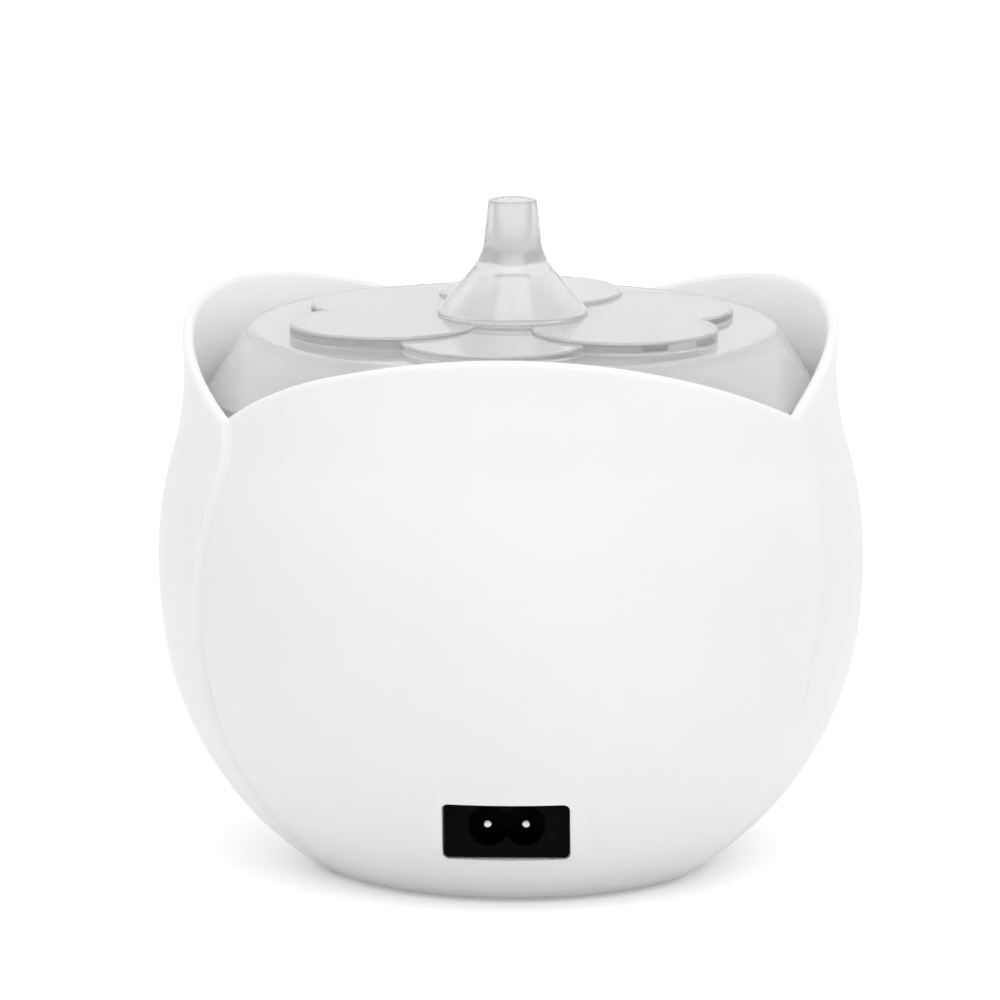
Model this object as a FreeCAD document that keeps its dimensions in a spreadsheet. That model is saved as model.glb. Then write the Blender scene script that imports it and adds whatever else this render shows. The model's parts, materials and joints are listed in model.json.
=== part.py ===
import FreeCAD, Part
import math
import os
import re
import Sketcher

# Driving sizes in millimetres, the inlet side faces -Y and the controls face +Y
SIZES = {
    "belly_radius": 80.0,
    "belly_drop": 24.0,
    "lower_inset": 0.85,
    "lower_drop": 15.0,
    "waist_inset": 3.5,
    "waist_drop": 5.4,
    "flare_radius": 66.0,
    "wall": 2.6,
    "notch_rise": 7.4,
    "petal_rise": 20.2,
    "petal_step": 1.6,
    "petal_turn": 2.0,
    "peak_shift": 2.4,
    "foot_gap": 1.0,
    "clearance": 0.3,
    "slip": 0.1,
    "plate_thick": 3.2,
    "plate_radius": 39.6,
    "plate_margin": 4.2,
    "part_tall": 10.6,
    "air_gap": 2.9,
    "stud_ring": 20.0,
    "stud_radius": 2.0,
    "ledge_thick": 2.8,
    "deck_thick": 3.0,
    "deck_inset": 3.0,
    "sheet": 1.3,
    "pot_depth": 58.0,
    "pot_flange": 1.6,
    "lid_height": 17.6,
    "lid_wall": 2.0,
    "lid_run": 9.5,
    "lid_foot": 2.9,
    "lid_round": 1.1,
    "flower_low": 1.9,
    "flower_high": 2.8,
    "flower_disc": 21.0,
    "flower_margin": 7.2,
    "flower_turn": 6.2,
    "flower_round": 0.7,
    "knob_radius": 17.0,
    "knob_height": 25.8,
    "knob_tip": 5.55,
    "knob_wall": 3.0,
    "inlet_level": 20.4,
    "inlet_sunk": 8.23,
    "inlet_width": 27.8,
    "inlet_height": 14.3,
    "pin_radius": 1.2,
    "pin_pitch": 8.6,
    "tube_radius": 3.2,
    "coil_radius": 34.0,
    "wire_radius": 1.1,
    "board_long": 50.0,
    "board_wide": 38.0,
    "board_thick": 1.6,
    "panel_drop": 5.0,
    "panel_radius": 22.0,
    "panel_proud": 0.9,
    "button_radius": 4.4,
    "button_pitch": 11.5,
    "button_proud": 0.8,
    "button_travel": 0.8,
    "bracket_wide": 47.0,
    "bracket_tall": 43.0,
    "control_wide": 42.0,
    "control_tall": 30.0,
}

V = FreeCAD.Vector
doc = FreeCAD.newDocument("WaxHeater")
sheet = doc.addObject("Spreadsheet::Sheet", "Sizes")
for row, (name, value) in enumerate(SIZES.items(), start=1):
    sheet.set(f"A{row}", name)
    sheet.set(f"B{row}", str(value))
    sheet.setAlias(f"B{row}", name)
doc.recompute()

# Named sizes that follow from the driving ones
BASE_RADIUS = "(plate_radius + plate_margin)"
LOWER_RADIUS = "(belly_radius - lower_inset)"
WAIST_RADIUS = "(belly_radius - waist_inset)"
PLATE_LEVEL = "(foot_gap + 0.2)"
PLATE_TOP = f"({PLATE_LEVEL} + plate_thick)"
OPENING = "(plate_radius - 6.6)"
BOSS_RING = "(plate_radius - 4.2)"
FOOT_SINK = "1.0"
POST_TALL = "6.0"
BOARD_LEVEL = f"({PLATE_TOP} + {POST_TALL})"
BOARD_TOP = f"({BOARD_LEVEL} + board_thick)"

# The heater stands on the base: each level follows from the one under it
STUD_END = "4.4"
SHIELD_THICK = "0.8"
SPACER_LONG = "5.4"
CLAMP_THICK = "1.2"
POT_GAP = "0.8"
SHIELD_LOW = f"({BOARD_TOP} + part_tall + air_gap + {STUD_END})"
SHIELD_TOP = f"({SHIELD_LOW} + {SHIELD_THICK})"
CLAMP_TOP = f"({SHIELD_TOP} + {SPACER_LONG} + {CLAMP_THICK})"
COIL_LEVEL = f"({CLAMP_TOP} + slip + tube_radius)"
CUP_FLOOR = f"({COIL_LEVEL} + tube_radius + slip)"
POT_FLOOR = f"({CUP_FLOOR} + sheet + {POT_GAP})"
FLANGE_TOP = f"({POT_FLOOR} + sheet + pot_depth)"
FLANGE_LEVEL = f"({FLANGE_TOP} - pot_flange)"
DECK_TOP = f"({FLANGE_LEVEL} - clearance)"
LEDGE_LEVEL = f"({DECK_TOP} - deck_thick)"
WAIST_LEVEL = f"({LEDGE_LEVEL} - waist_drop)"
BELLY_LEVEL = f"({WAIST_LEVEL} - belly_drop)"
LOWER_LEVEL = f"({BELLY_LEVEL} - lower_drop)"
NOTCH_LEVEL = f"({LEDGE_LEVEL} + notch_rise)"
RIM_LEVEL = f"({NOTCH_LEVEL} + petal_rise)"
RIM_ROUND = "(0.44 * wall)"

# Radii of the deck, the vessels and the lid follow from the casing wall
DECK_RADIUS = f"({WAIST_RADIUS} - wall - deck_inset)"
FLANGE_RADIUS = f"({DECK_RADIUS} - 1.3)"
CUP_RADIUS = f"({DECK_RADIUS} - 11.5)"
CUP_TAPER = "5.4"
POT_RADIUS = f"({CUP_RADIUS} - sheet - {POT_GAP})"
LEDGE_INNER = f"({DECK_RADIUS} - 4.9)"
CUP_SEAT = f"({DECK_TOP} - 1.4)"
CUP_FLANGE = f"({DECK_RADIUS} - 6.2)"
LID_RADIUS = f"({FLANGE_RADIUS} - 0.4)"
LID_CORNER = f"({LID_RADIUS} - lid_run)"
LID_LEVEL = f"({FLANGE_TOP} + clearance)"
LID_TOP = f"({LID_LEVEL} + lid_height)"
FLOWER_PITCH = f"({LID_CORNER} - flower_margin - flower_disc)"
FLOWER_TOP = f"({LID_TOP} + flower_high)"

# Panel and wiring places
PANEL_LEVEL = f"({BELLY_LEVEL} - panel_drop)"
PANEL_BACK = "(belly_radius - 5.0)"
BRACKET_FACE = "(belly_radius - 11.2)"
BRACKET_THICK = "2.0"
KEY_GAP = "1.5"
KEY_FACE = f"({BRACKET_FACE} - {BRACKET_THICK} - {KEY_GAP})"
KEY_BACK = f"({KEY_FACE} - board_thick)"
PLUNGER_END = f"({KEY_FACE} + 2.5 + button_travel)"
BUTTON_LEVEL = f"({PANEL_LEVEL} - 8.5)"
DISPLAY_LEVEL = f"({PANEL_LEVEL} + 8.0)"
CAP_BACK = f"({PANEL_BACK} - 0.25)"
STEM_END = f"({CAP_BACK} - 0.9)"
LENS_WIDE = "20.6"
LENS_TALL = "10"
BLOCK_ROW = "(5 - board_wide / 2)"
WIRE_LEVEL = f"({BOARD_TOP} + 4.5)"
CABLE_X = "10"
SOCKET_LEVEL = f"({PANEL_LEVEL} - 14)"
COIL_BEND = 6.0
COIL_TAIL = 2.5
COIL_END_X = f"(coil_radius * 0.5 - {COIL_BEND} * cos(30 deg))"
COIL_END_Y = f"(-coil_radius * cos(30 deg) - {COIL_BEND} * 0.5)"
COIL_END_Z = f"({COIL_LEVEL} - {COIL_BEND} - {COIL_TAIL})"
COIL_ENDS = [(f"-{COIL_END_X}", COIL_END_Y), (COIL_END_X, COIL_END_Y)]
BUTTON_X = ("button_pitch", "0", "-button_pitch")


def ex(text):
    """Expression text with every driving size read from the spreadsheet."""
    return re.sub(r"[a-z_]\w*", lambda w: "Sizes." + w[0] if w[0] in SIZES else w[0], text)


def num(text):
    """Present value of an expression."""
    return float(sheet.evalExpression(ex(text)))


def bind(obj, sizes):
    for key, text in sizes.items():
        obj.setExpression(key, ex(text))
    return obj


AIM = {
    "up": FreeCAD.Rotation(),
    "rear": FreeCAD.Rotation(V(1, 0, 0), -90),
    "front": FreeCAD.Rotation(V(1, 0, 0), 90),
    "down": FreeCAD.Rotation(V(1, 0, 0), 180),
}


def place(obj, at=("0", "0", "0"), aim="up"):
    """Placement from three expressions, local Z turned up, to +Y, to -Y or down."""
    obj.Placement = FreeCAD.Placement(V(), AIM[aim])
    for axis, text in zip("xyz", at):
        obj.setExpression(f"Placement.Base.{axis}", ex(text))
    return obj


def cylinder(name, radius, height, at, aim="up"):
    obj = doc.addObject("Part::Cylinder", name)
    bind(obj, {"Radius": radius, "Height": height})
    return place(obj, at, aim)


def box(name, size, at):
    """Box centred on its place in X and Y, standing on it in Z."""
    obj = doc.addObject("Part::Box", name)
    bind(obj, dict(zip(("Length", "Width", "Height"), size)))
    return place(obj, (f"{at[0]} - ({size[0]}) / 2", f"{at[1]} - ({size[1]}) / 2", at[2]))


def fuse(name, shapes):
    obj = doc.addObject("Part::MultiFuse", name)
    obj.Shapes = shapes
    return obj


def common(name, base, tool):
    obj = doc.addObject("Part::Common", name)
    obj.Base = base
    obj.Tool = tool
    return obj


def cut(name, base, tool):
    obj = doc.addObject("Part::Cut", name)
    obj.Base = base
    obj.Tool = tool
    return obj


def group(name, solids):
    """Several separate solids in one node."""
    obj = doc.addObject("Part::Compound", name)
    obj.Links = solids
    return obj


def origin(body, role):
    return next(o for o in body.Origin.OriginFeatures if o.Role == role)


def pin_point(sk, geo, pos, x, y):
    """Hold a sketch point at two expressions."""
    for kind, text, axis in (("DistanceX", x, -2), ("DistanceY", y, -1)):
        if text == "0":
            sk.addConstraint(Sketcher.Constraint("PointOnObject", geo, pos, axis))
        else:
            i = sk.addConstraint(Sketcher.Constraint(kind, -1, 1, geo, pos, num(text)))
            sk.setExpression(f"Constraints[{i}]", ex(text))


def pin_radius(sk, geo, radius):
    i = sk.addConstraint(Sketcher.Constraint("Radius", geo, num(radius)))
    sk.setExpression(f"Constraints[{i}]", ex(radius))


def arc_middle(a, b, radius, side):
    """Point half-way along the shorter arc that bulges to the right (1) or left (-1) of a to b."""
    chord = b - a
    rise = radius - math.sqrt(max(radius ** 2 - chord.Length ** 2 / 4, 0.0))
    out = V(chord.y, -chord.x, 0).normalize()
    return (a + b) * 0.5 + out * (side * rise)


def add_path(sk, points):
    """Closed outline: (x, y) starts a line, (x, y, radius, side) starts an arc."""
    spots = [V(num(p[0]), num(p[1]), 0) for p in points]
    ends = []
    for i, p in enumerate(points):
        a, b = spots[i], spots[(i + 1) % len(points)]
        if len(p) == 2:
            geo = sk.addGeometry(Part.LineSegment(a, b))
        else:
            geo = sk.addGeometry(Part.Arc(a, arc_middle(a, b, num(p[2]), p[3]), b))
        turned_round = (sk.getPoint(geo, 1) - a).Length > (sk.getPoint(geo, 2) - a).Length
        ends.append((geo, 2, 1) if turned_round else (geo, 1, 2))
    for i, (geo, first, last) in enumerate(ends):
        after = ends[(i + 1) % len(ends)]
        sk.addConstraint(Sketcher.Constraint("Coincident", geo, last, after[0], after[1]))
    for p, (geo, first, last) in zip(points, ends):
        pin_point(sk, geo, first, p[0], p[1])
        if len(p) == 4:
            pin_radius(sk, geo, p[2])


def add_circle(sk, x, y, radius):
    geo = sk.addGeometry(Part.Circle(V(num(x), num(y), 0), V(0, 0, 1), num(radius)))
    pin_point(sk, geo, 3, x, y)
    pin_radius(sk, geo, radius)


def block(x, y, wide, tall, round_by=None):
    """Corners of a rectangle about (x, y), sharp or rounded."""
    left, right = f"{x} - ({wide}) / 2", f"{x} + ({wide}) / 2"
    low, high = f"{y} - ({tall}) / 2", f"{y} + ({tall}) / 2"
    if round_by is None:
        return [(left, low), (right, low), (right, high), (left, high)]
    e = f"({round_by})"
    return [
        (f"{left} + {e}", low), (f"{right} - {e}", low, e, 1),
        (right, f"{low} + {e}"), (right, f"{high} - {e}", e, 1),
        (f"{right} - {e}", high), (f"{left} + {e}", high, e, 1),
        (left, f"{high} - {e}"), (left, f"{low} + {e}", e, 1),
    ]


def new_body(name):
    body = doc.addObject("PartDesign::Body", name)
    body.Label = name
    return body


def sketch(body, plane, paths=(), circles=(), lift=None):
    sk = body.newObject("Sketcher::SketchObject", body.Name + "_sketch")
    sk.AttachmentSupport = [(origin(body, plane), "")]
    sk.MapMode = "FlatFace"
    if lift:
        bind(sk, {"AttachmentOffset.Base.z": lift})
    for path in paths:
        add_path(sk, path)
    for circle in circles:
        add_circle(sk, *circle)
    return sk


def turned(name, outline):
    """Body turned about Z from an outline of radius and height."""
    body = new_body(name)
    sk = sketch(body, "XZ_Plane", [outline])
    turn = body.newObject("PartDesign::Revolution", name + "_turn")
    turn.Profile = sk
    turn.ReferenceAxis = (sk, ["V_Axis"])
    turn.Angle = 360
    return body


def pad(body, length, paths=(), circles=(), lift=None, plane="XY_Plane"):
    sk = sketch(body, plane, paths, circles, lift)
    feature = body.newObject("PartDesign::Pad", body.Name + "_pad")
    feature.Profile = sk
    return bind(feature, {"Length": length})


def pocket(body, depth, paths=(), circles=(), lift=None, plane="XY_Plane"):
    """Pocket cut upward from the sketch, or right through both ways where depth is None."""
    sk = sketch(body, plane, paths, circles, lift)
    feature = body.newObject("PartDesign::Pocket", body.Name + "_pocket")
    feature.Profile = sk
    if depth is None:
        feature.Type = "ThroughAll"
        feature.Midplane = True
    else:
        feature.Reversed = True
        bind(feature, {"Length": depth})
    return feature


def around(body, feature, count):
    """Repeat a feature about the body's Z axis."""
    pattern = body.newObject("PartDesign::PolarPattern", feature.Name + "_ring")
    pattern.Originals = [feature]
    pattern.Axis = (origin(body, "Z_Axis"), [""])
    pattern.Angle = 360
    pattern.Occurrences = count
    body.Tip = pattern
    return pattern


def ring_spots(radius, count, start=0.0):
    """Expressions of count places on a circle."""
    turns = [start + 360.0 * i / count for i in range(count)]
    return [(f"{radius} * cos({t} deg)", f"{radius} * sin({t} deg)") for t in turns]


def corner_spots(x, y, level=None):
    """Expressions of four places at the corners of a rectangle."""
    high, low = (y, f"-({y})") if level is None else (f"{level} + {y}", f"{level} - ({y})")
    return [(x, high), (f"-({x})", high), (f"-({x})", low), (x, low)]


BASE_SPOTS = ring_spots(BOSS_RING, 4, 45)
FOOT_SPOTS = ring_spots("(plate_radius - 6.8)", 4)
DECK_SPOTS = ring_spots(f"({DECK_RADIUS} - 2.95)", 3, 30)
STUD_SPOTS = ring_spots("stud_ring", 3, 30)
POST_SPOTS = corner_spots("board_long / 2 - 4", "board_wide / 2 - 4")
BRACKET_SPOTS = corner_spots("bracket_wide / 2 - 3.5", "(bracket_tall / 2 - 3.5)", PANEL_LEVEL)
KEY_SPOTS = corner_spots("control_wide / 2 - 3", "(control_tall / 2 - 3)", PANEL_LEVEL)


def tangent_radius(a, b, nx, ny):
    """Radius of the arc from a to b whose normal at a is (nx, ny)."""
    dx, dy = f"(({b[0]}) - ({a[0]}))", f"(({b[1]}) - ({a[1]}))"
    return f"({dx}^2 + {dy}^2) / (2 * abs({dx} * ({nx}) + {dy} * ({ny})))"


def belly_arc(inset, drop):
    """Radius of the arc that stands upright at the belly and comes in by inset over a drop."""
    return f"({inset}^2 + {drop}^2) / (2 * {inset})"


# Casing side: four tangent arcs from the base through belly and waist to the flared rim
LOWER_ARC = f"({belly_arc('lower_inset', 'lower_drop')})"
UPPER_ARC = f"({belly_arc('waist_inset', 'belly_drop')})"
LOWER_NX = f"(1 - lower_inset / {LOWER_ARC})"
LOWER_NY = f"(-lower_drop / {LOWER_ARC})"
FLARE_X = f"({WAIST_RADIUS} + flare_radius * (1 - waist_inset / {UPPER_ARC}))"
FLARE_Y = f"({WAIST_LEVEL} + flare_radius * belly_drop / {UPPER_ARC})"
FOOT = (f"{BASE_RADIUS} - 2", "foot_gap - 2")
FOOT_ARC = tangent_radius((LOWER_RADIUS, LOWER_LEVEL), FOOT, LOWER_NX, LOWER_NY)
FOOT_X = f"({LOWER_RADIUS} - ({FOOT_ARC}) * {LOWER_NX})"
FOOT_Y = f"({LOWER_LEVEL} - ({FOOT_ARC}) * {LOWER_NY})"

# The inlet sits sunk in the lower wall
INLET_WALL = f"({FOOT_X} + sqrt(({FOOT_ARC})^2 - (inlet_level - {FOOT_Y})^2))"
INLET_FACE = f"({INLET_WALL} - inlet_sunk)"
INLET_FLANGE = "2.5"
INLET_SEAT = "3.0"
INLET_DEEP = "10.5"
INLET_BACK = f"({INLET_FACE} - 14.5)"
INLET_FLANGE_BACK = f"({INLET_FACE} - {INLET_FLANGE})"
INLET_SEAT_BACK = f"({INLET_FACE} - {INLET_FLANGE} - {INLET_SEAT})"
PIN_STEM = "(pin_radius - 0.2)"
SOCKET_WIDE = "22"
SOCKET_TALL = "12.4"


def side_up(inset, foot, top=None):
    """Outline points up the casing side, moved inward by inset."""
    lower = (f"{LOWER_RADIUS} - ({inset})", LOWER_LEVEL)
    belly = (f"belly_radius - ({inset})", BELLY_LEVEL)
    waist = (f"{WAIST_RADIUS} - ({inset})", WAIST_LEVEL)
    points = [
        (*foot, tangent_radius(lower, foot, LOWER_NX, LOWER_NY), 1),
        (*lower, LOWER_ARC, 1),
        (*belly, UPPER_ARC, 1),
    ]
    if top is None:
        return points + [waist]
    rim = f"{FLARE_X} - ({inset}) - sqrt(flare_radius^2 - ({top} - {FLARE_Y})^2)"
    return points + [(*waist, "flare_radius", -1), (rim, top)]


def flipped(points):
    """The same open outline walked the other way."""
    arcs = [p[2:] for p in points]
    back = []
    for i in range(len(points) - 1, -1, -1):
        edge = arcs[i - 1] if i else ()
        turned_edge = (edge[0], -edge[1]) if edge else ()
        back.append((*points[i][:2], *turned_edge))
    return back


def filled_side(name, outset):
    """Solid of the casing side up to the waist, grown by outset."""
    foot = (f"{BASE_RADIUS} + ({outset})", "foot_gap")
    outline = [("0", "foot_gap")] + side_up(f"-({outset})", foot) + [("0", WAIST_LEVEL)]
    return turned(name, outline)


def petal_shell():
    """Turned wall of the casing, open at both ends."""
    top = f"({RIM_LEVEL} + 6)"
    outer = side_up("0", FOOT, top)
    inner = side_up("wall", (f"{BASE_RADIUS} - 1.5 * wall", "foot_gap - 0.5"), top)
    return turned("petal_shell", outer + flipped(inner))


PIVOT_DEPTH = "25"
PETAL_TILT = f"(petal_step / (2 * sin(60 deg) * ({NOTCH_LEVEL} + {PIVOT_DEPTH})))"
PETAL_HALF = "(0.85 * belly_radius)"
WIDE_LEVEL = f"({NOTCH_LEVEL} - 26.4)"
SIDE_LEVEL = f"({WIDE_LEVEL} - 48.6)"
SIDE_HALF = f"({PETAL_HALF} - 7)"
FOOT_HALF = f"(0.87 * {BASE_RADIUS})"
OVERLAP = "3.2"
ARCH_HALF = "(0.5 * belly_radius)"
ARCH_DROP = "(0.326 * petal_rise)"
ARCH = f"(({ARCH_HALF}^2 + {ARCH_DROP}^2) / (2 * {ARCH_DROP}))"
NOTCH_HALF = "(0.801 * belly_radius)"


def rim_outline():
    """Arched rim of a petal seen face-on, its peak to the left, over a broad square."""
    wide = "(0.97 * belly_radius)"
    low = f"(0.5 * {NOTCH_LEVEL})"
    level = f"({RIM_LEVEL} - {ARCH_DROP})"
    nx = f"({ARCH_HALF} / {ARCH})"
    ny = f"(1 - {ARCH_DROP} / {ARCH})"
    sides = []
    for half in (f"({ARCH_HALF} - peak_shift)", f"({ARCH_HALF} + peak_shift)"):
        fall = f"({tangent_radius((half, level), (NOTCH_HALF, NOTCH_LEVEL), nx, ny)})"
        slope = f"({NOTCH_HALF} - {half} + {fall} * {nx}) / ({NOTCH_LEVEL} - {level} + {fall} * {ny})"
        sides.append((half, fall, f"{NOTCH_LEVEL} - ({wide} - {NOTCH_HALF}) * {slope}"))
    (right, right_fall, right_end), (left, left_fall, left_end) = sides
    return [
        (f"-{wide}", f"-{low}"), (wide, f"-{low}"), (wide, right_end),
        (NOTCH_HALF, NOTCH_LEVEL, right_fall, 1), (right, level, ARCH, 1),
        (f"-{left}", level, left_fall, 1), (f"-{NOTCH_HALF}", NOTCH_LEVEL), (f"-{wide}", left_end),
    ]


def side_outline():
    """Petal sides seen face-on: proud edge to the right, edge under the neighbour to the left."""
    rise = f"({WIDE_LEVEL} - {SIDE_LEVEL})"
    swell = f"({PETAL_HALF} - {SIDE_HALF})"
    side = f"(({swell}^2 + {rise}^2) / (2 * {swell}))"
    low = tangent_radius((SIDE_HALF, SIDE_LEVEL), (FOOT_HALF, "foot_gap"),
                         f"(1 - {swell} / {side})", f"(-{rise} / {side})")
    hem = f"({PETAL_HALF} - {NOTCH_HALF})"
    neck = f"({hem}^2 + ({NOTCH_LEVEL} - {WIDE_LEVEL})^2) / (2 * {hem})"
    top = f"{RIM_LEVEL} + 8"
    return [
        (FOOT_HALF, "foot_gap", low, 1), (SIDE_HALF, SIDE_LEVEL, side, 1),
        (PETAL_HALF, WIDE_LEVEL, neck, 1), (NOTCH_HALF, NOTCH_LEVEL), (NOTCH_HALF, top),
        (f"-{PETAL_HALF} - {OVERLAP}", top), (f"-{PETAL_HALF} - {OVERLAP}", WIDE_LEVEL, side, 1),
        (f"-{SIDE_HALF} - {OVERLAP}", SIDE_LEVEL, low, 1), (f"-{FOOT_HALF} - {OVERLAP}", "foot_gap"),
    ]


def round_rim(name, base):
    """Fillet both edges of the rim, found as the edges between arched and turned faces."""
    doc.recompute()
    edges = []
    for i, edge in enumerate(base.Shape.Edges, start=1):
        faces = [f for f in base.Shape.Faces if any(edge.isSame(e) for e in f.Edges)]
        kinds = sorted(type(f.Surface).__name__ for f in faces)
        if kinds == ["Cylinder", "Toroid"]:
            edges.append((i, num(RIM_ROUND), num(RIM_ROUND)))
    rim = doc.addObject("Part::Fillet", name)
    rim.Base = base
    rim.Edges = edges
    return rim


def petals():
    """Three equal petals, each leaning over the next one."""
    leaning = petal_shell()
    leaning.Placement = FreeCAD.Placement(V(), FreeCAD.Rotation(V(0, 1, 0), 0.4))
    bind(leaning, {
        "Placement.Rotation.Angle": f"{PETAL_TILT} * 180 / pi",
        "Placement.Base.x": f"{PIVOT_DEPTH} * {PETAL_TILT}",
    })
    arched = common("petal_arched", leaning, prism("rim_block", "-12", "belly_radius + 8", rim_outline()))
    rim = round_rim("petal_rim", arched)
    petal = common("petal", rim, prism("side_block", "0", "belly_radius + 20", side_outline()))
    copies = []
    for i in range(3):
        copy = group(f"petal_{i}", [petal])
        copy.Placement = FreeCAD.Placement(V(), FreeCAD.Rotation(V(0, 0, 1), 1))
        copies.append(bind(copy, {"Placement.Rotation.Angle": f"{120 * i} + petal_turn"}))
    return copies


def build_casing():
    """Three petals with a base ring, a ledge for the deck, screw bosses and the inlet frame."""
    base_ring = turned("base_ring", [
        ("plate_radius + clearance", "foot_gap"), (f"{BASE_RADIUS} - 1.5", "foot_gap"),
        (f"{BASE_RADIUS} + 6.8", f"{PLATE_TOP} + 2.4"), (OPENING, f"{PLATE_TOP} + 2.4"),
        (OPENING, PLATE_TOP), ("plate_radius + clearance", PLATE_TOP),
    ])
    ledge = turned("ledge_ring", [
        (LEDGE_INNER, f"{LEDGE_LEVEL} - ledge_thick"),
        (f"{WAIST_RADIUS} - 0.9 * wall", f"{LEDGE_LEVEL} - ledge_thick"),
        (f"{WAIST_RADIUS} - 0.9 * wall", LEDGE_LEVEL), (LEDGE_INNER, LEDGE_LEVEL),
    ])
    bosses = []
    holes = []
    for i, (x, y) in enumerate(BASE_SPOTS):
        bosses.append(cylinder(f"base_boss_{i}", "3.3", "7", (x, y, f"{PLATE_TOP} + 1")))
        holes.append(cylinder(f"base_pilot_{i}", "1.3", "6.5", (x, y, PLATE_TOP)))
    for i, (x, y) in enumerate(DECK_SPOTS):
        low = f"{LEDGE_LEVEL} - ledge_thick - 1"
        holes.append(cylinder(f"deck_pilot_{i}", "1.3", "ledge_thick + 2", (x, y, low)))
    inside = []
    for i, (x, z) in enumerate(BRACKET_SPOTS):
        inside.append(cylinder(f"panel_boss_{i}", "3.2", "20", (x, BRACKET_FACE, z), "rear"))
        holes.append(cylinder(f"panel_pilot_{i}", "1.1", "4", (x, BRACKET_FACE, z), "rear"))
    inside.append(box("inlet_block", ("inlet_width + 5.2", "26", "inlet_height + 5.2"),
                      ("0", f"-({INLET_SEAT_BACK} + 13)", "inlet_level - inlet_height / 2 - 2.6")))
    inside = common("wall_bosses", filled_side("wall_core", "-wall / 2"), group("wall_blocks", inside))
    shell = fuse("casing_shell", petals() + [base_ring, ledge, inside] + bosses)
    holes.append(prism("inlet_window", f"-{INLET_FLANGE_BACK}", "40",
                       block("0", "inlet_level", "inlet_width + 2 * clearance",
                             "inlet_height + 2 * clearance", "1.2 + clearance")))
    holes.append(prism("inlet_throat", f"-({INLET_SEAT_BACK} - 4)", "10",
                       block("0", "inlet_level", f"{SOCKET_WIDE} + 2 * clearance",
                             f"{SOCKET_TALL} + 2 * clearance", "2 + clearance")))
    holes.append(cylinder("panel_window", "panel_radius + clearance", "30",
                          ("0", "belly_radius - 20", PANEL_LEVEL), "rear"))
    return cut("casing", shell, group("casing_holes", holes))


def build_base():
    """Base plate with vents and posts, rubber feet and base screws."""
    plate = place(new_body("base_plate"), ("0", "0", PLATE_LEVEL))
    pad(plate, "plate_thick", circles=[("0", "0", "plate_radius")])
    pad(plate, POST_TALL, circles=[(x, y, "2.8") for x, y in POST_SPOTS], lift="plate_thick")
    pocket(plate, "plate_thick", circles=[(x, y, "1.7") for x, y in BASE_SPOTS])
    pocket(plate, "1.8", circles=[(x, y, "3.1") for x, y in BASE_SPOTS])
    pocket(plate, FOOT_SINK, circles=[(x, y, "5 + slip") for x, y in FOOT_SPOTS])
    pocket(plate, "5", circles=[(x, y, "1.1") for x, y in POST_SPOTS], lift="plate_thick + 1.2")
    vent = pocket(plate, "plate_thick", [block("15", "0", "12", "3", "1.4")])
    doc.recompute()
    around(plate, vent, 8)
    feet = [cylinder(f"foot_{i}", "5", f"{PLATE_LEVEL} + {FOOT_SINK}", (x, y, "0"))
            for i, (x, y) in enumerate(FOOT_SPOTS)]
    screw_seat = f"{PLATE_LEVEL} + 1.8"
    screws = screw_set("base_screws", ("2.8", "1.6", "1.2", "6.5"),
                       [(x, y, screw_seat) for x, y in BASE_SPOTS], "up")
    return [plate, group("feet", feet), screws]


def screw_set(name, size, spots, aim):
    """Pan-head screws with their seat at each spot and the shank pointing along aim."""
    head, tall, shank, long = size
    screws = []
    for i, spot in enumerate(spots):
        screw = turned(f"{name}_{i}", [
            ("0", f"-({tall})"), (f"{head} - 0.4", f"-({tall})", "0.4", 1), (head, f"0.4 - ({tall})"),
            (head, "0"), (shank, "0"), (shank, f"{long} - 0.6"), (f"{shank} - 0.5", long), ("0", long),
        ])
        screws.append(place(screw, spot, aim))
    return group(name, screws)


def build_deck():
    """Deck ring on the casing ledge, its screws, the heater cup and the lift-out pot."""
    deck = turned("deck_ring_turn", [
        (f"{CUP_RADIUS} + 0.6", LEDGE_LEVEL), (DECK_RADIUS, LEDGE_LEVEL), (DECK_RADIUS, DECK_TOP),
        (f"{CUP_FLANGE} + clearance", DECK_TOP), (f"{CUP_FLANGE} + clearance", CUP_SEAT),
        (f"{CUP_RADIUS} + 0.6", CUP_SEAT),
    ])
    holes = []
    for i, (x, y) in enumerate(DECK_SPOTS):
        holes.append(cylinder(f"deck_hole_{i}", "1.7", "deck_thick + 2", (x, y, f"{LEDGE_LEVEL} - 1")))
        holes.append(cylinder(f"deck_sink_{i}", "2.4", "3", (x, y, f"{DECK_TOP} - 1.6")))
    deck = cut("deck_ring", deck, group("deck_holes", holes))
    screws = screw_set("deck_screws", ("2.1", "1.5", "1.2", "4"),
                       [(x, y, f"{DECK_TOP} - 1.6") for x, y in DECK_SPOTS], "down")
    cup = vessel("heater_cup", CUP_RADIUS, CUP_FLOOR, CUP_SEAT, CUP_FLANGE, "sheet")
    pot = vessel("pot", POT_RADIUS, POT_FLOOR, FLANGE_LEVEL, FLANGE_RADIUS, "pot_flange")
    return [deck, screws, cup, pot]


def vessel(name, radius, floor, seat, flange, lip):
    """Drawn sheet vessel with a round bottom corner and a flat flange."""
    low = f"({radius} - {CUP_TAPER})"
    return turned(name, [
        ("0", floor), (f"{low} - 6", floor, "6", 1), (low, f"{floor} + 6"), (radius, seat),
        (flange, seat), (flange, f"{seat} + {lip}"), (f"{radius} - sheet", f"{seat} + {lip}"),
        (f"{low} - sheet", f"{floor} + 6", "6 - sheet", -1), (f"{low} - 6", f"{floor} + sheet"),
        ("0", f"{floor} + sheet"),
    ])


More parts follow.
